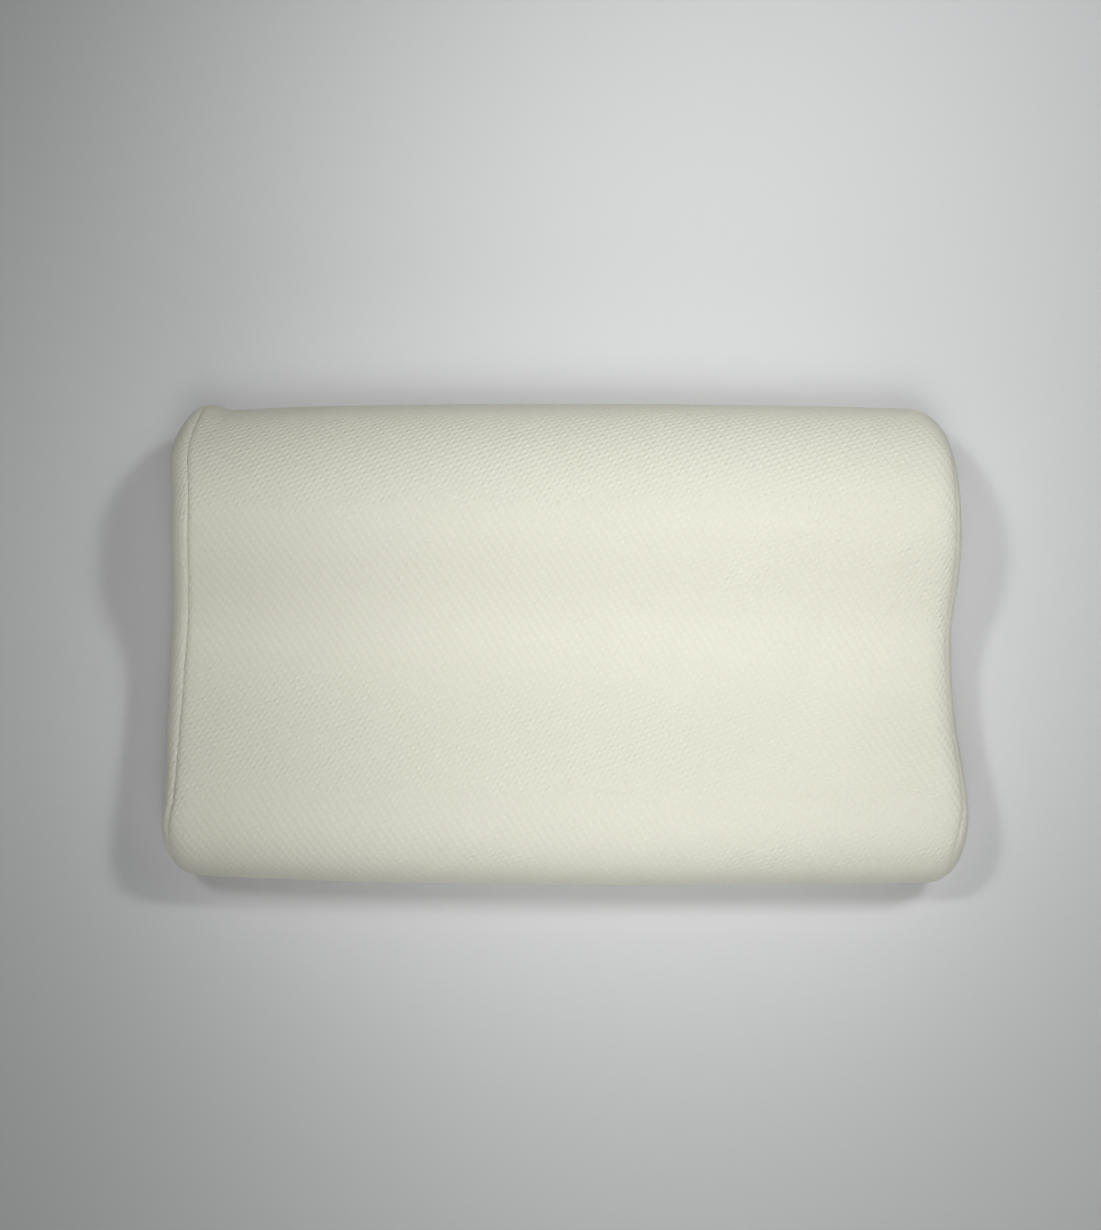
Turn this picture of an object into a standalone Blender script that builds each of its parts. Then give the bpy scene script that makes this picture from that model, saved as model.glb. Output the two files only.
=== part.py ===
"""Contour pillow: a moulded foam wave in a sewn knit cover, lying on its flat back.

Metres, +Z up. X runs along the pillow, +Y points to the high lobe, +Z out of the wavy face.
The origin is on the surface that the pillow lies on, under the middle of its box.
The cover is a wrap panel round the wave and one wave-shaped panel on each end.
"""

import math

import bmesh
import bpy

LENGTH = 0.500
DEPTH = 0.304
HIGH_LOBE = 0.100
LOW_LOBE = 0.075
HOLLOW = 0.064

# The wave section: how far each crest lies in from its long edge, how high the outermost line
# of that edge runs, and how wide the edge's lower rounding is.
HIGH_CREST_IN = 0.073
LOW_CREST_IN = 0.047
HOLLOW_Y = -0.010
HIGH_EDGE_Z = 0.044
LOW_EDGE_Z = 0.031
HIGH_BACK_ROUND = 0.030
LOW_BACK_ROUND = 0.024

# The uneven ends, from the low edge to the high edge. At each y: how far each end reaches along X,
# and where its seam lies on the end's rounding, in degrees from the face.
END_COLUMNS = ("y", "left reach", "right reach", "left seam", "right seam")
END_ROWS = (
    (-0.152, 0.2486, 0.2484, 52, 30),
    (-0.127, 0.2484, 0.2490, 46, 34),
    (-0.100, 0.2460, 0.2488, 36, 50),
    (-0.055, 0.2470, 0.2446, 25, 49),
    (-0.010, 0.2470, 0.2430, 20, 48),
    (0.040, 0.2430, 0.2452, 19, 50),
    (0.082, 0.2418, 0.2438, 17, 54),
    (0.122, 0.2460, 0.2424, 12, 62),
    (0.152, 0.2450, 0.2440, 7, 68),
)
END_DOME = 0.002
END_ROUND = 0.018
CORNER_ROUND = {
    ("left", "high"): 0.021,
    ("left", "low"): 0.021,
    ("right", "high"): 0.027,
    ("right", "low"): 0.021,
}
CORNER_REACH = 0.042

# Crown: how far the long edges and the face fall away from the middle of the pillow to its ends.
EDGE_CROWN = {
    ("left", "high"): 0.0058,
    ("left", "low"): 0.0056,
    ("right", "high"): 0.0031,
    ("right", "low"): 0.0026,
}
FACE_CROWN = 0.0025

SEAM_DIP = 0.0012
SEAM_DIP_WIDTH = 0.0045
PANEL_THICKNESS = 0.0025
SEWN_GAP = 0.0003

# The small peak where the left seam crosses the high edge.
PEAK_HEIGHT = 0.0045
PEAK_ALONG = 0.011
PEAK_ROUND = 0.020

EDGE_STEPS = 6
WAVE_STEPS = 14
MIDDLE_STEPS = 10
WRAP_STEPS = 3
ROUND_STEPS = 4
CAP_STEPS = 3

IVORY = (0.80, 0.79, 0.67, 1.0)
KNIT_ROUGHNESS = 0.92

SIDES = {"left": -1, "right": 1}


def blend(low, high, share):
    return low + (high - low) * share


def smooth(share):
    """A soft step from 0 to 1."""
    share = min(1.0, max(0.0, share))
    return share * share * (3 - 2 * share)


def clear_scene():
    for obj in list(bpy.data.objects):
        bpy.data.objects.remove(obj, do_unlink=True)


def wave_between(start, end, share):
    """A point of the half wave between two (y, z) points where the face runs level."""
    y = blend(start[0], end[0], share)
    z = blend(start[1], end[1], 0.5 - 0.5 * math.cos(math.pi * share))
    return y, z


def face_points():
    """The face of the section from the low edge over both lobes to the high edge."""
    low_crest = (-DEPTH / 2 + LOW_CREST_IN, LOW_LOBE)
    high_crest = (DEPTH / 2 - HIGH_CREST_IN, HIGH_LOBE)
    hollow = (HOLLOW_Y, HOLLOW)
    points = []
    for step in range(EDGE_STEPS):
        turn = math.pi / 2 * step / EDGE_STEPS
        y = -DEPTH / 2 + LOW_CREST_IN * (1 - math.cos(turn))
        points.append((y, blend(LOW_EDGE_Z, LOW_LOBE, math.sin(turn))))
    half = WAVE_STEPS // 2
    points += [wave_between(low_crest, hollow, step / half) for step in range(half)]
    points += [wave_between(hollow, high_crest, step / half) for step in range(half)]
    for step in range(EDGE_STEPS, -1, -1):
        turn = math.pi / 2 * step / EDGE_STEPS
        y = DEPTH / 2 - HIGH_CREST_IN * (1 - math.cos(turn))
        points.append((y, blend(HIGH_EDGE_Z, HIGH_LOBE, math.sin(turn))))
    return points


def back_points():
    """The back of the section from the low edge to the high edge: flat between two roundings."""
    points = []
    for step in range(EDGE_STEPS):
        turn = math.pi / 2 * step / EDGE_STEPS
        y = -DEPTH / 2 + LOW_BACK_ROUND * (1 - math.cos(turn))
        points.append((y, LOW_EDGE_Z * (1 - math.sin(turn))))
    start = -DEPTH / 2 + LOW_BACK_ROUND
    end = DEPTH / 2 - HIGH_BACK_ROUND
    points += [(blend(start, end, step / WAVE_STEPS), 0.0) for step in range(WAVE_STEPS)]
    for step in range(EDGE_STEPS, -1, -1):
        turn = math.pi / 2 * step / EDGE_STEPS
        y = DEPTH / 2 - HIGH_BACK_ROUND * (1 - math.cos(turn))
        points.append((y, HIGH_EDGE_Z * (1 - math.sin(turn))))
    return points


def spine_points(face, back):
    """Half way between face and back; round each long edge all columns share one point."""
    last = len(face) - 1 - EDGE_STEPS
    spine = []
    for column in range(len(face)):
        held = min(max(column, EDGE_STEPS), last)
        y = (face[held][0] + back[held][0]) / 2
        z = (face[held][1] + back[held][1]) / 2
        spine.append((y, z))
    return spine


def section_ring():
    """The section as a closed ring of (point, spine point), face first and then the back."""
    face = face_points()
    back = back_points()
    spine = spine_points(face, back)
    ring = list(zip(face, spine))
    ring += list(zip(back[-2:0:-1], spine[-2:0:-1]))
    return ring


def end_value(name, point):
    """A column of the end rows at this point's y, on a smooth curve through the rows."""
    column = END_COLUMNS.index(name)
    places = [row[0] for row in END_ROWS]
    values = [row[column] for row in END_ROWS]
    last = len(END_ROWS) - 1
    slopes = []
    for at in range(last + 1):
        before, after = max(at - 1, 0), min(at + 1, last)
        slopes.append((values[after] - values[before]) / (places[after] - places[before]))
    y = min(max(point[0], places[0]), places[-1])
    at = max(row for row in range(last) if y >= places[row])
    step = places[at + 1] - places[at]
    share = (y - places[at]) / step
    lean_here = slopes[at] * step * share * (1 - share) ** 2
    lean_next = slopes[at + 1] * step * share * share * (share - 1)
    return blend(values[at], values[at + 1], smooth(share)) + lean_here + lean_next


def end_rounding(side, point):
    """The end's rounding radius at this point: wider where the long edges turn the corner."""
    edge = "high" if point[0] > 0 else "low"
    nearness = smooth((abs(point[0]) - DEPTH / 2 + CORNER_REACH) / CORNER_REACH)
    return blend(END_ROUND, CORNER_ROUND[side, edge], nearness)


def half_length(side, point):
    """How far this end reaches along X at this point, without its dome."""
    return end_value(f"{side} reach", point)


def peak_height(side, point, from_seam):
    """Raises the cover where the left seam crosses the high edge."""
    if side != "left":
        return 0.0
    y = (DEPTH / 2 - point[0]) / PEAK_ROUND
    z = (point[1] - HIGH_EDGE_Z) / (2 * PEAK_ROUND)
    along = from_seam / PEAK_ALONG
    return PEAK_HEIGHT * math.exp(-(y * y + z * z + along * along))


def crowned(x, y, z):
    """Lets the long edges and the face fall away towards the ends."""
    out = (2 * x / LENGTH) ** 2
    edge = EDGE_CROWN["right" if x > 0 else "left", "high" if y > 0 else "low"]
    y *= 1 - out * edge / (DEPTH / 2)
    z *= 1 - out * out * FACE_CROWN / HIGH_LOBE
    return x, y, z


def set_in(point, spine, inset):
    """Moves a section point towards its spine point, no further than all the way."""
    away = math.dist(point, spine)
    share = min(1.0, inset / away)
    return blend(point[0], spine[0], share), blend(point[1], spine[1], share)


def seam_arc(side, point):
    """Where the seam lies, as a length along the rounding from where the rounding starts."""
    return math.radians(end_value(f"{side} seam", point)) * end_rounding(side, point)


def rim_point(side, point, spine, arc, depth):
    """A point on the end's rounding, arc away from its start and depth under the cover's outside."""
    radius = end_rounding(side, point)
    depth -= peak_height(side, point, arc - seam_arc(side, point))
    turn = max(0.0, arc) / radius
    x = half_length(side, point) - radius + min(0.0, arc) + (radius - depth) * math.sin(turn)
    y, z = set_in(point, spine, depth + (radius - depth) * (1 - math.cos(turn)))
    return crowned(SIDES[side] * x, y, z)


def cap_point(side, point, spine, share, depth):
    """A point on the flat of the end, share of the way from its rounding to the spine."""
    radius = end_rounding(side, point)
    inset = blend(radius, math.dist(point, spine), share)
    flat = blend(half_length(side, point), half_length(side, spine), share)
    x = flat - depth + END_DOME * (1 - (1 - share) ** 2)
    y, z = set_in(point, spine, inset)
    return crowned(SIDES[side] * x, y, z)


def middle_point(point, spine, share):
    """A point of the wrap panel between the two ends, share going from -1 to 1."""
    side = "left" if share < 0 else "right"
    x = share * (half_length(side, point) - end_rounding(side, point))
    return crowned(x, *point)


def cap_rings(ring, side, depth):
    """The end's flat, from its middle out to its rounding."""
    rings = []
    for step in range(CAP_STEPS, 0, -1):
        share = step / CAP_STEPS
        rings.append([cap_point(side, point, spine, share, depth) for point, spine in ring])
    return rings


def round_rings(ring, side, depth, clear=0.0):
    """The end's rounding from the flat to the seam, stopping clear of it."""
    rings = []
    for step in range(ROUND_STEPS + 1):
        made = []
        for point, spine in ring:
            last = seam_arc(side, point) + clear
            first = math.pi / 2 * end_rounding(side, point)
            arc = blend(first, last, step / ROUND_STEPS)
            made.append(rim_point(side, point, spine, arc, depth))
        rings.append(made)
    return rings


def seam_dip_rings(ring, side, away):
    """The cover's edge beside the seam, pulled in by the stitches. away: 1 on the end panel, -1 on the wrap."""
    rings = []
    for share in (0.0, 0.35, 1.0):
        made = []
        for point, spine in ring:
            clear = SEWN_GAP if away > 0 else 0.0
            arc = seam_arc(side, point) + away * share * SEAM_DIP_WIDTH + clear
            made.append(rim_point(side, point, spine, arc, SEAM_DIP * (1 - share) ** 2))
        rings.append(made)
    return rings


def wrap_rings(ring, side):
    """The wrap panel from the seam's dip to the start of the end's rounding."""
    rings = []
    for step in range(1, WRAP_STEPS + 1):
        made = []
        for point, spine in ring:
            start = seam_arc(side, point) - SEAM_DIP_WIDTH
            arc = blend(start, -2 * SEAM_DIP_WIDTH, step / WRAP_STEPS)
            made.append(rim_point(side, point, spine, arc, 0.0))
        rings.append(made)
    return rings


def middle_rings(ring):
    rings = []
    for step in range(1, MIDDLE_STEPS):
        share = 2 * step / MIDDLE_STEPS - 1
        rings.append([middle_point(point, spine, share) for point, spine in ring])
    return rings


def body_end(ring, side):
    """One end of the filled wrap panel, from the middle of the flat outwards and on to the face."""
    under = PANEL_THICKNESS + SEWN_GAP
    rings = cap_rings(ring, side, under)
    rings += round_rings(ring, side, under)
    rings += seam_dip_rings(ring, side, -1)
    rings += wrap_rings(ring, side)
    return rings


def end_panel_rings(ring, side):
    """An end panel: its outside from the middle to the seam, and its inside back to the middle."""
    outside = cap_rings(ring, side, 0.0)
    outside += round_rings(ring, side, 0.0, SEWN_GAP + SEAM_DIP_WIDTH)
    outside += seam_dip_rings(ring, side, 1)[1::-1]
    inside = cap_rings(ring, side, PANEL_THICKNESS)
    inside += round_rings(ring, side, PANEL_THICKNESS, SEWN_GAP)
    return outside + inside[::-1]


def loft(rings):
    """A closed mesh through the rings, whose first and last ring fold flat onto a line."""
    shape = bmesh.new()
    loops = [[shape.verts.new(point) for point in ring] for ring in rings]
    count = len(rings[0])
    for near, far in zip(loops, loops[1:]):
        for at in range(count):
            after = (at + 1) % count
            shape.faces.new((near[at], near[after], far[after], far[at]))
    bmesh.ops.remove_doubles(shape, verts=shape.verts, dist=1e-6)
    bmesh.ops.recalc_face_normals(shape, faces=shape.faces)
    return shape


def knit_material(name):
    material = bpy.data.materials.new(name)
    material.use_nodes = True
    shader = material.node_tree.nodes["Principled BSDF"]
    shader.inputs["Base Color"].default_value = IVORY
    shader.inputs["Roughness"].default_value = KNIT_ROUGHNESS
    shader.inputs["Metallic"].default_value = 0.0
    return material


def add_piece(name, rings, material, collection):
    shape = loft(rings)
    mesh = bpy.data.meshes.new(name)
    shape.to_mesh(mesh)
    shape.free()
    mesh.shade_smooth()
    mesh.set_sharp_from_angle(angle=math.radians(50))
    mesh.materials.append(material)
    piece = bpy.data.objects.new(name, mesh)
    collection.objects.link(piece)
    return piece


def add_body(ring, collection):
    """The foam wave in its wrap panel, as one filled solid."""
    rings = body_end(ring, "left")
    rings += middle_rings(ring)
    rings += body_end(ring, "right")[::-1]
    return add_piece("pillow_body", rings, knit_material("wrap knit"), collection)


def add_end_panel(ring, side, collection):
    material = knit_material(f"{side} end knit")
    return add_piece(f"end_panel_{side}", end_panel_rings(ring, side), material, collection)


def main():
    clear_scene()
    collection = bpy.data.collections.new("contour_pillow")
    bpy.context.scene.collection.children.link(collection)
    ring = section_ring()
    add_body(ring, collection)
    for side in SIDES:
        add_end_panel(ring, side, collection)


main()
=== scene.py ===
"""Looks of the contour pillow: its puff-knit cover, seams and soft relief, with floor, light and camera."""
import functools
import math

import bmesh
import bpy
from mathutils import Matrix, Vector, noise


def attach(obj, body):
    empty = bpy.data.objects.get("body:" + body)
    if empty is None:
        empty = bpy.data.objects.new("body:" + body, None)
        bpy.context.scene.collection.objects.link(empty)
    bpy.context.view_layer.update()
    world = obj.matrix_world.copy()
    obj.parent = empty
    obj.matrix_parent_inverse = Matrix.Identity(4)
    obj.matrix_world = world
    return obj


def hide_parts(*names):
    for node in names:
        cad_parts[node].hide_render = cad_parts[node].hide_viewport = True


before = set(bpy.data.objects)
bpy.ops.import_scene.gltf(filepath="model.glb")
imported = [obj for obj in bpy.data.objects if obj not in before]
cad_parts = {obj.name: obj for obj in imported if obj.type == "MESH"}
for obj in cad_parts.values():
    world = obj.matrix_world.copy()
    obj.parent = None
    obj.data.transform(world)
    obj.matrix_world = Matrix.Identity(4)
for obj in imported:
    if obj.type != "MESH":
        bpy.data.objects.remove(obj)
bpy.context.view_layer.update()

# Sizes in metres, as in the part's source: the wave section, the ends and the crown.
LENGTH = 0.500
DEPTH = 0.304
HIGH_LOBE = 0.100
LOW_LOBE = 0.075
HOLLOW = 0.064
HIGH_CREST_IN = 0.073
LOW_CREST_IN = 0.047
HOLLOW_Y = -0.010
HIGH_EDGE_Z = 0.044
LOW_EDGE_Z = 0.031
HIGH_BACK_ROUND = 0.030
LOW_BACK_ROUND = 0.024

# The ends at nine sections: how far each reaches, and its seam's place in degrees round its rounding.
END_COLUMNS = ("y", "left reach", "right reach", "left seam", "right seam")
END_ROWS = (
    (-0.152, 0.2486, 0.2484, 52, 30),
    (-0.127, 0.2484, 0.2490, 46, 34),
    (-0.100, 0.2460, 0.2488, 36, 50),
    (-0.055, 0.2470, 0.2446, 25, 49),
    (-0.010, 0.2470, 0.2430, 20, 48),
    (0.040, 0.2430, 0.2452, 19, 50),
    (0.082, 0.2418, 0.2438, 17, 54),
    (0.122, 0.2460, 0.2424, 12, 62),
    (0.152, 0.2450, 0.2440, 7, 68),
)
END_DOME = 0.002
END_ROUND = 0.018
CORNER_ROUND = {
    ("left", "high"): 0.021,
    ("left", "low"): 0.021,
    ("right", "high"): 0.027,
    ("right", "low"): 0.021,
}
CORNER_REACH = 0.042
EDGE_CROWN = {
    ("left", "high"): 0.0058,
    ("left", "low"): 0.0056,
    ("right", "high"): 0.0031,
    ("right", "low"): 0.0026,
}
FACE_CROWN = 0.0025

# The seams: the dip is deeper on the left, and the left one peaks where it crosses the high edge.
SEAM_DIP = {"left": 0.0011, "right": 0.0005}
SEAM_DIP_WIDTH = 0.0045
PANEL_THICKNESS = 0.0025
SEWN_GAP = 0.0003
PEAK_HEIGHT = 0.0045
PEAK_ALONG = 0.011
PEAK_ROUND = 0.020
SIDES = {"left": -1, "right": 1}

# Mesh fineness: columns round the wave and rings along it. The dip's rings are closest at the seam.
EDGE_STEPS = 22
WAVE_STEPS = 60
MIDDLE_STEPS = 76
WRAP_STEPS = 7
ROUND_STEPS = 12
CAP_STEPS = 12
DIP_SHARES = (0.0, 0.06, 0.16, 0.3, 0.48, 0.72, 1.0)

# Soft relief of the cover: broad undulation, fine unevenness and a restless right end.
# Each height has its scales: noise cells per metre in the two directions that it follows.
BROAD_RELIEF = 0.00055
BROAD_SCALES = (11, 13)
FINE_RELIEF = 0.00018
FINE_SCALES = (38, 30)
END_RESTLESS = 0.0011
END_RESTLESS_SCALES = (24, 14)
END_RESTLESS_REACH = 0.030
RELIEF_CLEAR = 0.010

# Puckers along the seams: the share of the dip that they change, their pitch, and how both wander.
PUCKER_SHARE = 0.25
PUCKER_PITCH = 0.0085
PUCKER_WANDER = 2.5
PUCKER_WANDER_SCALE = 30
PUCKER_STRENGTH = 0.6
PUCKER_STRENGTH_SWING = 0.8
PUCKER_STRENGTH_SCALE = 18

# Layers of the noise, set apart so that no two uses of it look alike.
NOISE_LAYERS = {"pucker wander": 3.1, "pucker strength": 9.4, "fine relief": 5.0, "restless end": 2.0}
CUT_LAYERS = {"wrap": 0.0, "left": 20.0, "right": 30.0}

# The knit's puffs: two crossing waves, each as waves per metre along the pillow and whole waves
# round its girth. The third wave is their difference. A sum under PUFF_GAP is flat ground.
PUFF_WAVES = ((-179.5, -83), (106.7, -201))
PUFF_WEIGHTS = (0.38, 0.33, 0.29)
PUFF_GAP = -0.32
PUFF_TOP = 0.95
PUFF_HEIGHT = 0.00033
PUFF_DRIFT = 0.0007
PUFF_DRIFT_SCALE = 90.0
UNEVEN_SCALE = 160.0
UNEVEN_NOISE = (0.25, 0.75)
UNEVEN_SHARES = (0.72, 1.1)

# The fine knit loops all over the cloth, and the fuzz on the yarn.
LOOP_PITCH = (0.00115, 0.00085)
LOOP_HEIGHT = 0.00004
FUZZ_HEIGHT = 0.00003
FUZZ_SCALE = 1500.0
BUMP_UNIT = 0.001

# Colours and sheen of the knit: painted light on the tops of the puffs, painted shade in the gaps between
# them, and a cloudy tint over both.
KNIT_PAINTED_LIGHT = (0.868, 0.862, 0.768, 1.0)
KNIT_PAINTED_SHADE = (0.838, 0.831, 0.704, 1.0)
KNIT_CLOUD = (0.850, 0.843, 0.745, 1.0)
CLOUDINESS = 0.25
CLOUD_SCALE = 14.0
CLOUD_NOISE = (0.3, 0.7)
KNIT_ROUGHNESS = 0.93
KNIT_SPECULAR = 0.25
SHEEN = 0.08
SHEEN_ROUGHNESS = 0.5
SHEEN_TINT = (1.0, 0.99, 0.93, 1.0)

FLOOR_COLOUR = (0.730, 0.739, 0.744, 1.0)
FLOOR_ROUGHNESS = 0.9
FLOOR_SPECULAR = 0.2
FLOOR_DROP = 0.0004
FLOOR_SIZE = 8.0

# Meshes: points closer than this are joined, and edges sharper than this many degrees stay sharp.
JOIN_DISTANCE = 1e-6
SHARP_DEGREES = 60

# Soft lights: place, width and length, the spot each one faces, the beam's spread in degrees and watts.
LIGHTS = {
    "left key": ((-0.57, 0.30, 1.50), (0.20, 0.20), (0.25, 0.05, 0.00), 80, 1.06),
    "left low": ((-1.00, 0.00, 0.20), (0.30, 0.16), (-0.25, 0.00, 0.05), 90, 0.13),
    "right key": ((0.84, 0.52, 1.50), (0.22, 0.22), (0.15, 0.05, 0.00), 110, 2.55),
    "right fill": ((0.85, 0.10, 1.40), (0.50, 0.50), (0.10, 0.00, 0.00), 180, 1.05),
    "top fill": ((0.25, 0.70, 0.80), (0.50, 0.30), (0.25, 0.70, 0.00), 90, 0.50),
    "upper fill": ((0.05, 0.36, 0.80), (0.50, 0.30), (0.05, 0.36, 0.00), 45, 0.13),
    "lower fill": ((0.05, -0.50, 0.80), (0.50, 0.30), (0.05, -0.50, 0.00), 45, 0.05),
    "front left spot": ((0.05, -0.33, 0.88), (0.40, 0.40), (0.05, 0.00, 0.05), 50, 0.38),
    "front right spot": ((0.20, -0.33, 0.88), (0.40, 0.40), (0.20, 0.00, 0.05), 50, 0.04),
    "low bounce": ((0.10, -1.30, 0.70), (1.00, 0.50), (0.10, 0.00, 0.05), 180, 3.00),
}
WORLD_COLOUR = (0.96, 0.98, 1.0, 1.0)
WORLD_STRENGTH = 0.015

# The camera, fitted to the outline in the 1101 x 1230 picture.
IMAGE_SIZE = (1101, 1230)
FOCAL_PX = 1897.0
CAMERA_DISTANCE = 1.20
CAMERA_TILT = math.radians(6.7)
CAMERA_YAW = math.radians(0.2)
CAMERA_ROLL = math.radians(0.2)
LOOKED_AT = Vector((0.0, 0.0, 0.040))
LOOKED_AT_PX = (563.5, 642.0)
SENSOR = 36.0


def blend(low, high, share):
    return low + (high - low) * share


def smooth(share):
    """A soft step from 0 to 1."""
    share = min(1.0, max(0.0, share))
    return share * share * (3 - 2 * share)


def wave_between(start, end, share):
    """A point of the half wave between two (y, z) points where the face runs level."""
    y = blend(start[0], end[0], share)
    z = blend(start[1], end[1], 0.5 - 0.5 * math.cos(math.pi * share))
    return y, z


def edge_curve(edge, crest_in, edge_z, level_z, turn):
    """A point of the quarter ellipse from a long edge (turn 0) to a level line (turn 1)."""
    angle = math.pi / 2 * turn
    inward = -math.copysign(1, edge)
    y = edge + inward * crest_in * (1 - math.cos(angle))
    return y, blend(edge_z, level_z, math.sin(angle))


def face_points():
    """The face of the section from the low edge over both lobes to the high edge."""
    low_crest = (-DEPTH / 2 + LOW_CREST_IN, LOW_LOBE)
    high_crest = (DEPTH / 2 - HIGH_CREST_IN, HIGH_LOBE)
    hollow = (HOLLOW_Y, HOLLOW)
    half = WAVE_STEPS // 2
    turns = [step / EDGE_STEPS for step in range(EDGE_STEPS)]
    points = [edge_curve(-DEPTH / 2, LOW_CREST_IN, LOW_EDGE_Z, LOW_LOBE, turn) for turn in turns]
    points += [wave_between(low_crest, hollow, step / half) for step in range(half)]
    points += [wave_between(hollow, high_crest, step / half) for step in range(half)]
    points.append(high_crest)
    back_down = reversed(turns)
    points += [edge_curve(DEPTH / 2, HIGH_CREST_IN, HIGH_EDGE_Z, HIGH_LOBE, turn) for turn in back_down]
    return points


def back_points():
    """The back of the section from the low edge to the high edge: flat between two roundings."""
    start = -DEPTH / 2 + LOW_BACK_ROUND
    end = DEPTH / 2 - HIGH_BACK_ROUND
    turns = [step / EDGE_STEPS for step in range(EDGE_STEPS)]
    points = [edge_curve(-DEPTH / 2, LOW_BACK_ROUND, LOW_EDGE_Z, 0.0, turn) for turn in turns]
    points += [(blend(start, end, step / WAVE_STEPS), 0.0) for step in range(WAVE_STEPS + 1)]
    back_up = reversed(turns)
    points += [edge_curve(DEPTH / 2, HIGH_BACK_ROUND, HIGH_EDGE_Z, 0.0, turn) for turn in back_up]
    return points


def spine_points(face, back):
    """Half way between face and back; round each long edge all columns share one point."""
    last = len(face) - 1 - EDGE_STEPS
    spine = []
    for column in range(len(face)):
        held = min(max(column, EDGE_STEPS), last)
        y = (face[held][0] + back[held][0]) / 2
        z = (face[held][1] + back[held][1]) / 2
        spine.append((y, z))
    return spine


def section_ring():
    """The section as a closed ring of (point, spine point), face first and then the back."""
    face = face_points()
    back = back_points()
    spine = spine_points(face, back)
    ring = list(zip(face, spine))
    ring += list(zip(back[-2:0:-1], spine[-2:0:-1]))
    return ring


def girths(ring):
    """Length round the section from the low edge to each column, and all the way round."""
    along = [0.0]
    for (near, _), (far, _) in zip(ring, ring[1:] + ring[:1]):
        along.append(along[-1] + math.dist(near, far))
    return along


@functools.lru_cache(maxsize=None)
def end_value(name, y):
    """A column of the end rows at this y, on a smooth curve through the rows."""
    column = END_COLUMNS.index(name)
    places = [row[0] for row in END_ROWS]
    values = [row[column] for row in END_ROWS]
    last = len(END_ROWS) - 1
    slopes = []
    for at in range(last + 1):
        before, after = max(at - 1, 0), min(at + 1, last)
        slopes.append((values[after] - values[before]) / (places[after] - places[before]))
    y = min(max(y, places[0]), places[-1])
    at = max(row for row in range(last) if y >= places[row])
    step = places[at + 1] - places[at]
    share = (y - places[at]) / step
    lean_here = slopes[at] * step * share * (1 - share) ** 2
    lean_next = slopes[at + 1] * step * share * share * (share - 1)
    return blend(values[at], values[at + 1], smooth(share)) + lean_here + lean_next


def end_rounding(side, point):
    """The radius of the end's rounding here, which changes towards the corners."""
    edge = "high" if point[0] > 0 else "low"
    nearness = smooth((abs(point[0]) - DEPTH / 2 + CORNER_REACH) / CORNER_REACH)
    return blend(END_ROUND, CORNER_ROUND[side, edge], nearness)


def half_length(side, point):
    """How far this end reaches from the pillow's middle, at this point of the section."""
    return end_value(f"{side} reach", point[0])


def peak_height(side, point, from_seam):
    """Raises the cover where the left seam crosses the high edge."""
    if side != "left":
        return 0.0
    y = (DEPTH / 2 - point[0]) / PEAK_ROUND
    z = (point[1] - HIGH_EDGE_Z) / (2 * PEAK_ROUND)
    along = from_seam / PEAK_ALONG
    return PEAK_HEIGHT * math.exp(-(y * y + z * z + along * along))


def crowned(x, y, z):
    """Lets the long edges and the face fall away towards the ends."""
    out = (2 * x / LENGTH) ** 2
    edge = EDGE_CROWN["right" if x > 0 else "left", "high" if y > 0 else "low"]
    y *= 1 - out * edge / (DEPTH / 2)
    z *= 1 - out * out * FACE_CROWN / HIGH_LOBE
    return x, y, z


def set_in(point, spine, inset):
    """Moves a section point towards its spine point, no further than all the way."""
    share = min(1.0, inset / math.dist(point, spine))
    return blend(point[0], spine[0], share), blend(point[1], spine[1], share)


def seam_arc(side, point):
    """Where the seam lies, as a length along the rounding from where the rounding starts."""
    return math.radians(end_value(f"{side} seam", point[0])) * end_rounding(side, point)


class Ring:
    """One closed ring of a loft: its points, their cloth places and how freely each may be raised."""

    def __init__(self):
        self.points = []
        self.cloth = []
        self.free = []

    def add(self, point, cloth, free):
        self.points.append(point)
        self.cloth.append(cloth)
        self.free.append(free)


def rim_place(side, point, spine, arc, depth):
    """A point on the end's rounding, arc away from its start and depth under the cover's outside."""
    radius = end_rounding(side, point)
    depth -= peak_height(side, point, arc - seam_arc(side, point))
    turn = max(0.0, arc) / radius
    x = half_length(side, point) - radius + min(0.0, arc) + (radius - depth) * math.sin(turn)
    y, z = set_in(point, spine, depth + (radius - depth) * (1 - math.cos(turn)))
    return crowned(SIDES[side] * x, y, z)


def cap_place(side, point, spine, share, depth):
    """A point on the flat of the end, share of the way from its rounding to the spine."""
    radius = end_rounding(side, point)
    inset = blend(radius, math.dist(point, spine), share)
    flat = blend(half_length(side, point), half_length(side, spine), share)
    x = flat - depth + END_DOME * (1 - (1 - share) ** 2)
    y, z = set_in(point, spine, inset)
    return crowned(SIDES[side] * x, y, z)


def end_cloth(side, point, spine, arc):
    """The flat cut's place of a point on an end panel: straight out from the spine."""
    radius = end_rounding(side, point)
    away = math.dist(point, spine)
    out = (away - radius + radius * math.pi / 2 - arc) / away
    return blend(spine[0], point[0], out), blend(spine[1], point[1], out)


def wrap_cloth(side, point, arc, girth):
    """The flat cut's place of a point on the wrap panel: length along it and round it."""
    radius = end_rounding(side, point)
    return SIDES[side] * (half_length(side, point) - radius + arc), girth


def cap_rings(ring, side, depth, free):
    """The flat of the end, from the spine out to the rounding."""
    rings = []
    for step in range(CAP_STEPS, 0, -1):
        share = step / CAP_STEPS
        made = Ring()
        for point, spine in ring:
            radius = end_rounding(side, point)
            flat = share * (math.dist(point, spine) - radius)
            cloth = end_cloth(side, point, spine, radius * math.pi / 2 + flat)
            made.add(cap_place(side, point, spine, share, depth), cloth, free)
        rings.append(made)
    return rings


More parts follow.
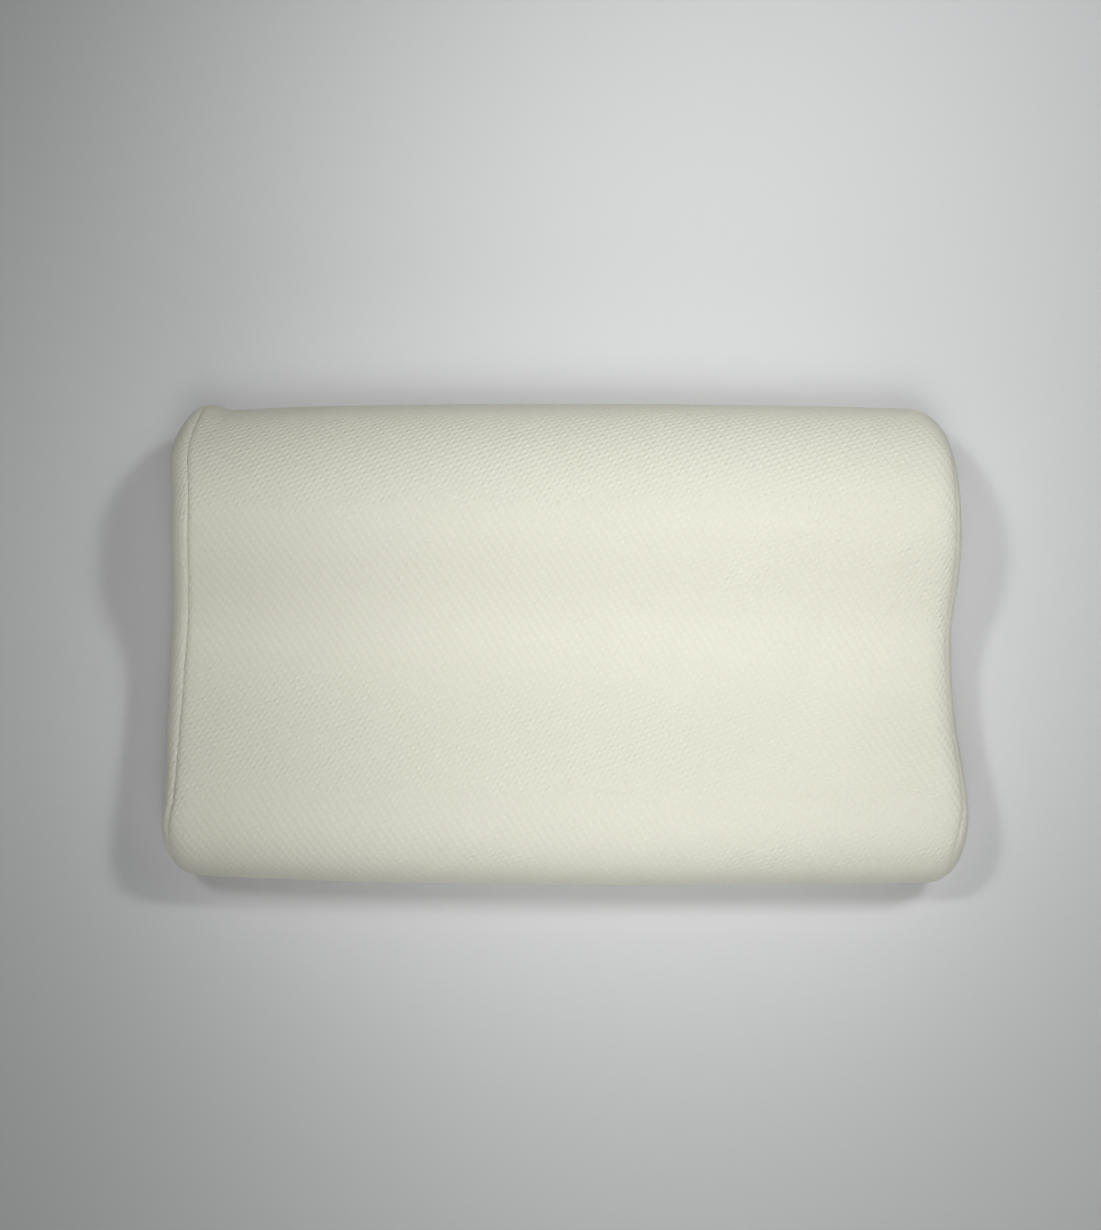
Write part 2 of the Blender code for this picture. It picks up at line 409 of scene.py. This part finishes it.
def round_rings(ring, side, depth, clear, free):
    """The end's rounding from the flat to the seam, stopping clear of it."""
    rings = []
    for step in range(ROUND_STEPS + 1):
        made = Ring()
        for point, spine in ring:
            last = seam_arc(side, point) + clear
            first = math.pi / 2 * end_rounding(side, point)
            arc = blend(first, last, step / ROUND_STEPS)
            cloth = end_cloth(side, point, spine, arc)
            made.add(rim_place(side, point, spine, arc, depth), cloth, free)
        rings.append(made)
    return rings


def pucker(girth):
    """How much deeper the seam pulls in here, from about -1 to 1, uneven from stitch to stitch."""
    wander_place = Vector((girth * PUCKER_WANDER_SCALE, NOISE_LAYERS["pucker wander"], 0))
    wander = noise.noise(wander_place) * PUCKER_WANDER
    strength_place = Vector((girth * PUCKER_STRENGTH_SCALE, NOISE_LAYERS["pucker strength"], 0))
    strength = PUCKER_STRENGTH + PUCKER_STRENGTH_SWING * noise.noise(strength_place)
    return strength * math.sin(2 * math.pi * girth / PUCKER_PITCH + wander)


def seam_dip_rings(ring, side, away, along):
    """The cover's edge at the seam, pulled in by the stitches. away: 1 on the end panel, -1 on the wrap."""
    rings = []
    for share in DIP_SHARES:
        made = Ring()
        for (point, spine), girth in zip(ring, along):
            clear = SEWN_GAP if away > 0 else 0.0
            arc = seam_arc(side, point) + away * share * SEAM_DIP_WIDTH + clear
            depth = SEAM_DIP[side] * (1 - share) ** 2 * (1 + PUCKER_SHARE * pucker(girth))
            if away > 0:
                cloth = end_cloth(side, point, spine, arc)
            else:
                cloth = wrap_cloth(side, point, arc, girth)
            made.add(rim_place(side, point, spine, arc, depth), cloth, smooth(share))
        rings.append(made)
    return rings


def wrap_rings(ring, side, along):
    """The wrap panel from the seam's dip to a little past the start of the end's rounding."""
    rings = []
    for step in range(1, WRAP_STEPS + 1):
        made = Ring()
        for (point, spine), girth in zip(ring, along):
            start = seam_arc(side, point) - SEAM_DIP_WIDTH
            arc = blend(start, -2 * SEAM_DIP_WIDTH, step / WRAP_STEPS)
            cloth = wrap_cloth(side, point, arc, girth)
            made.add(rim_place(side, point, spine, arc, 0.0), cloth, 1.0)
        rings.append(made)
    return rings


def middle_rings(ring, along):
    """The wrap panel between the two ends' roundings."""
    rings = []
    for step in range(2, MIDDLE_STEPS - 1):
        share = 2 * step / MIDDLE_STEPS - 1
        side = "left" if share < 0 else "right"
        made = Ring()
        for (point, spine), girth in zip(ring, along):
            x = share * (half_length(side, point) - end_rounding(side, point))
            made.add(crowned(x, *point), (x, girth), 1.0)
        rings.append(made)
    return rings


def hidden_end_rings(ring, side):
    """The wrap piece's own end, which lies under the end panel."""
    under = PANEL_THICKNESS + SEWN_GAP
    return cap_rings(ring, side, under, 0.0) + round_rings(ring, side, under, 0.0, 0.0)


def wrap_panel_rings(ring, along):
    """The whole wrap piece from left to right, with its hidden ends."""
    rings = []
    for side in SIDES:
        end = hidden_end_rings(ring, side)
        end += seam_dip_rings(ring, side, -1, along)
        end += wrap_rings(ring, side, along)
        if side == "left":
            rings += end + middle_rings(ring, along)
        else:
            rings += end[::-1]
    return rings


def end_panel_rings(ring, side, along):
    """An end panel: its outside from the middle to the seam, and its inside back to the middle."""
    outside = cap_rings(ring, side, 0.0, 1.0)
    outside += round_rings(ring, side, 0.0, SEWN_GAP + SEAM_DIP_WIDTH, 1.0)
    outside += seam_dip_rings(ring, side, 1, along)[-2::-1]
    inside = cap_rings(ring, side, PANEL_THICKNESS, 0.0)
    inside += round_rings(ring, side, PANEL_THICKNESS, SEWN_GAP, 0.0)
    return outside + inside[::-1]


def relief(place, cloth, cut):
    """How far the cover stands out from its even form at this point. cut keeps the pieces' folds unlike."""
    broad_place = Vector((cloth[0] * BROAD_SCALES[0], cloth[1] * BROAD_SCALES[1], cut))
    broad = noise.noise(broad_place) * BROAD_RELIEF
    fine_layer = cut + NOISE_LAYERS["fine relief"]
    fine_place = Vector((cloth[0] * FINE_SCALES[0], cloth[1] * FINE_SCALES[1], fine_layer))
    fine = noise.noise(fine_place) * FINE_RELIEF
    nearness = smooth((place[0] - LENGTH / 2 + END_RESTLESS_REACH) / END_RESTLESS_REACH)
    across, up = END_RESTLESS_SCALES
    restless_place = Vector((place[1] * across, place[2] * up, NOISE_LAYERS["restless end"]))
    restless = noise.noise(restless_place) * END_RESTLESS * nearness
    return (broad + fine + restless) * smooth(place[2] / RELIEF_CLEAR)


def raise_relief(shape, cloth_layer, free_layer, cut):
    """Moves each point of the cover's outside along its normal by the relief there."""
    shape.normal_update()
    moves = []
    for vert in shape.verts:
        height = relief(vert.co, vert[cloth_layer].xy, cut) * vert[free_layer]
        moves.append(vert.normal * height)
    for vert, move in zip(shape.verts, moves):
        vert.co += move


def loft(name, rings, along, wraps, cut):
    """A closed mesh through the rings, with the cloth's flat places as its UV map.

    along holds the girth at each column and once more at the first, so that the pattern closes
    on a piece that wraps round.
    """
    count = len(along) - 1
    shape = bmesh.new()
    flat = shape.loops.layers.uv.new("Cloth")
    cloth_layer = shape.verts.layers.float_vector.new("cloth place")
    free_layer = shape.verts.layers.float.new("free")
    for ring in rings:
        for point, place, share in zip(ring.points, ring.cloth, ring.free):
            vert = shape.verts.new(point)
            vert[cloth_layer] = (place[0], place[1], 0.0)
            vert[free_layer] = share
    shape.verts.ensure_lookup_table()
    for near, (ring, far_ring) in enumerate(zip(rings, rings[1:])):
        for at in range(count):
            after = (at + 1) % count
            first = near * count
            corners = (first + at, first + after, first + count + after, first + count + at)
            face = shape.faces.new([shape.verts[corner] for corner in corners])
            cloth = (ring.cloth[at], ring.cloth[after], far_ring.cloth[after], far_ring.cloth[at])
            girths_here = (along[at], along[at + 1], along[at + 1], along[at])
            for loop, place, girth in zip(face.loops, cloth, girths_here):
                loop[flat].uv = (place[0], girth) if wraps else place
    if shape.calc_volume(signed=True) < 0:
        bmesh.ops.reverse_faces(shape, faces=shape.faces)
    bmesh.ops.remove_doubles(shape, verts=shape.verts, dist=JOIN_DISTANCE)
    raise_relief(shape, cloth_layer, free_layer, cut)
    shape.verts.layers.float_vector.remove(cloth_layer)
    shape.verts.layers.float.remove(shape.verts.layers.float["free"])
    mesh = bpy.data.meshes.new(name)
    shape.to_mesh(mesh)
    shape.free()
    mesh.shade_smooth()
    mesh.set_sharp_from_angle(angle=math.radians(SHARP_DEGREES))
    piece = bpy.data.objects.new(name, mesh)
    bpy.context.scene.collection.objects.link(piece)
    return piece


class Nodes:
    """Short calls for the nodes of one material."""

    def __init__(self, name):
        self.material = bpy.data.materials.new(name)
        self.material.use_nodes = True
        self.tree = self.material.node_tree
        self.shader = self.tree.nodes["Principled BSDF"]

    def add(self, kind, inputs=(), **settings):
        node = self.tree.nodes.new(kind)
        for key, value in settings.items():
            setattr(node, key, value)
        for place, value in enumerate(inputs):
            self.feed(node.inputs[place], value)
        return node

    def feed(self, socket, value):
        if isinstance(value, bpy.types.NodeSocket):
            self.tree.links.new(value, socket)
        else:
            socket.default_value = value

    def math(self, operation, *inputs):
        return self.add("ShaderNodeMath", inputs, operation=operation).outputs[0]

    def vector(self, operation, *inputs):
        node = self.add("ShaderNodeVectorMath", inputs, operation=operation)
        return node.outputs["Value" if operation == "DOT_PRODUCT" else "Vector"]

    def noise(self, place, scale, detail):
        node = self.add("ShaderNodeTexNoise")
        self.feed(node.inputs["Vector"], place)
        node.inputs["Scale"].default_value = scale
        node.inputs["Detail"].default_value = detail
        return node.outputs["Fac"]

    def ramp(self, value, low, high, out_low=0.0, out_high=1.0, soft=True):
        node = self.add("ShaderNodeMapRange", (value, low, high, out_low, out_high))
        node.interpolation_type = "SMOOTHSTEP" if soft else "LINEAR"
        return node.outputs["Result"]

    def mix(self, share, low, high):
        node = self.add("ShaderNodeMix", data_type="RGBA")
        self.feed(node.inputs["Factor"], share)
        self.feed(node.inputs["A"], low)
        self.feed(node.inputs["B"], high)
        return node.outputs["Result"]


def cosine_wave(nodes, place, waves_per_metre):
    """A cosine across the cloth with this many waves per metre along each of its directions."""
    turns = tuple(2 * math.pi * wave for wave in waves_per_metre) + (0.0,)
    return nodes.math("COSINE", nodes.vector("DOT_PRODUCT", place, turns))


def puff_height(nodes, cloth, girth):
    """The knit's puffs, 0 in the gaps and 1 on top, as three crossing waves with a little drift."""
    first, second = ((along, round_it / girth) for along, round_it in PUFF_WAVES)
    third = (second[0] - first[0], second[1] - first[1])
    drift = nodes.add("ShaderNodeTexNoise")
    nodes.feed(drift.inputs["Vector"], cloth)
    drift.inputs["Scale"].default_value = PUFF_DRIFT_SCALE
    moved = nodes.vector("SUBTRACT", drift.outputs["Color"], (0.5, 0.5, 0.5))
    moved = nodes.vector("MULTIPLY", moved, (PUFF_DRIFT, PUFF_DRIFT, 0.0))
    moved = nodes.vector("ADD", cloth, moved)
    total = None
    for waves, weight in zip((first, second, third), PUFF_WEIGHTS):
        wave = nodes.math("MULTIPLY", cosine_wave(nodes, moved, waves), weight)
        total = wave if total is None else nodes.math("ADD", total, wave)
    return nodes.ramp(total, PUFF_GAP, PUFF_TOP)


def loop_height(nodes, cloth):
    """The fine knit loops, from -1 to 1."""
    along = cosine_wave(nodes, cloth, (1 / LOOP_PITCH[0], 0.0))
    across = cosine_wave(nodes, cloth, (0.5 / LOOP_PITCH[0], 1 / LOOP_PITCH[1]))
    return nodes.math("MULTIPLY", along, across)


def knit_bump(nodes, cloth, puffs):
    """The bump of the puffs, the knit loops and the fuzz."""
    height = nodes.math("MULTIPLY", puffs, PUFF_HEIGHT / BUMP_UNIT)
    loops = nodes.math("MULTIPLY", loop_height(nodes, cloth), LOOP_HEIGHT / BUMP_UNIT)
    height = nodes.math("ADD", height, loops)
    fuzz = nodes.noise(cloth, FUZZ_SCALE, detail=2.0)
    height = nodes.math("ADD", height, nodes.math("MULTIPLY", fuzz, FUZZ_HEIGHT / BUMP_UNIT))
    bump = nodes.add("ShaderNodeBump")
    bump.inputs["Strength"].default_value = 1.0
    bump.inputs["Distance"].default_value = BUMP_UNIT
    nodes.feed(bump.inputs["Height"], height)
    return bump.outputs["Normal"]


def knit_tint_and_painted_shade(nodes, cloth, puffs):
    """The knit's colour, with painted shade in the gaps and painted light on the tops of the puffs, under a
    cloudy tint.
    """
    # Painted shade in the gaps and painted light on the puffs' tops, following the puff height.
    tint = nodes.mix(puffs, KNIT_PAINTED_SHADE, KNIT_PAINTED_LIGHT)
    cloudy = nodes.noise(cloth, CLOUD_SCALE, detail=3.0)
    return nodes.mix(nodes.ramp(cloudy, *CLOUD_NOISE, 0.0, CLOUDINESS), tint, KNIT_CLOUD)


def knit_material(name, girth):
    """The ivory puff knit, laid out on the cloth's flat places."""
    nodes = Nodes(name)
    cloth = nodes.add("ShaderNodeUVMap", uv_map="Cloth").outputs["UV"]
    uneven = nodes.noise(cloth, UNEVEN_SCALE, detail=1.0)
    uneven = nodes.ramp(uneven, *UNEVEN_NOISE, *UNEVEN_SHARES, soft=False)
    puffs = nodes.math("MULTIPLY", puff_height(nodes, cloth, girth), uneven)
    nodes.feed(nodes.shader.inputs["Base Color"], knit_tint_and_painted_shade(nodes, cloth, puffs))
    nodes.feed(nodes.shader.inputs["Normal"], knit_bump(nodes, cloth, puffs))
    nodes.shader.inputs["Roughness"].default_value = KNIT_ROUGHNESS
    nodes.shader.inputs["Specular IOR Level"].default_value = KNIT_SPECULAR
    nodes.shader.inputs["Sheen Weight"].default_value = SHEEN
    nodes.shader.inputs["Sheen Roughness"].default_value = SHEEN_ROUGHNESS
    nodes.shader.inputs["Sheen Tint"].default_value = SHEEN_TINT
    return nodes.material


def add_wrap_panel(ring, along, material):
    """The filled wrap panel: the pillow itself, tight over its foam."""
    piece = loft("wrap_panel", wrap_panel_rings(ring, along), along, True, CUT_LAYERS["wrap"])
    piece.data.materials.append(material)
    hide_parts("pillow_body")
    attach(piece, "root")
    return piece


def add_end_cover(ring, along, side, material):
    """The thin wave-shaped panel sewn on one end."""
    rings = end_panel_rings(ring, side, along)
    piece = loft(f"end_cover_{side}", rings, along, False, CUT_LAYERS[side])
    piece.data.materials.append(material)
    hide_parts(f"end_panel_{side}")
    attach(piece, "root")


def add_floor():
    """A plain pale floor just under the pillow's back."""
    mesh = bpy.data.meshes.new("floor")
    half = FLOOR_SIZE / 2
    corners = [(-half, -half, -FLOOR_DROP), (half, -half, -FLOOR_DROP)]
    corners += [(half, half, -FLOOR_DROP), (-half, half, -FLOOR_DROP)]
    mesh.from_pydata(corners, [], [(0, 1, 2, 3)])
    nodes = Nodes("pale floor")
    nodes.shader.inputs["Base Color"].default_value = FLOOR_COLOUR
    nodes.shader.inputs["Roughness"].default_value = FLOOR_ROUGHNESS
    nodes.shader.inputs["Specular IOR Level"].default_value = FLOOR_SPECULAR
    mesh.materials.append(nodes.material)
    floor = bpy.data.objects.new("floor", mesh)
    bpy.context.scene.collection.objects.link(floor)


def add_camera():
    """A camera at the photo's angle to the pillow's face, with the image's up along +Y."""
    back = Vector((math.sin(CAMERA_YAW) * math.cos(CAMERA_TILT), -math.sin(CAMERA_TILT),
                   math.cos(CAMERA_YAW) * math.cos(CAMERA_TILT)))
    right = Vector((0, 1, 0)).cross(back).normalized()
    up = back.cross(right)
    across = (LOOKED_AT_PX[0] - IMAGE_SIZE[0] / 2) / FOCAL_PX
    down = (LOOKED_AT_PX[1] - IMAGE_SIZE[1] / 2) / FOCAL_PX
    place = LOOKED_AT + back * CAMERA_DISTANCE
    ahead = (-back - right * across + up * down).normalized()
    side = ahead.cross(up).normalized()
    turned = Matrix((side, side.cross(ahead), -ahead)).transposed().to_4x4()
    data = bpy.data.cameras.new("camera")
    data.sensor_width = SENSOR
    data.lens = FOCAL_PX / max(IMAGE_SIZE) * SENSOR
    camera = bpy.data.objects.new("camera", data)
    camera.matrix_world = Matrix.Translation(place) @ turned @ Matrix.Rotation(CAMERA_ROLL, 4, "Z")
    bpy.context.scene.collection.objects.link(camera)
    bpy.context.scene.camera = camera


def add_soft_light(name, place, size, aim, spread, power):
    """A soft panel of light, itself out of sight."""
    data = bpy.data.lights.new(name, "AREA")
    data.shape = "RECTANGLE"
    data.size, data.size_y = size
    data.spread = math.radians(spread)
    data.energy = power
    light = bpy.data.objects.new(name, data)
    light.location = place
    light.rotation_euler = (Vector(aim) - Vector(place)).to_track_quat("-Z", "Y").to_euler()
    light.visible_camera = False
    bpy.context.scene.collection.objects.link(light)


def add_world():
    """A faint cool light from all round."""
    world = bpy.data.worlds.new("studio")
    world.use_nodes = True
    background = world.node_tree.nodes["Background"]
    background.inputs["Color"].default_value = WORLD_COLOUR
    background.inputs["Strength"].default_value = WORLD_STRENGTH
    bpy.context.scene.world = world


def main():
    ring = section_ring()
    along = girths(ring)
    wrap_material = knit_material("wrap_knit_cloth", along[-1])
    end_material = knit_material("end_knit_cloth", along[-1])
    wrap = add_wrap_panel(ring, along, wrap_material)
    for side in SIDES:
        add_end_cover(ring, along, side, end_material)
    add_floor()
    add_world()
    for name, light in LIGHTS.items():
        add_soft_light(name, *light)
    add_camera()
    bpy.context.scene.view_settings.view_transform = "Standard"


main()
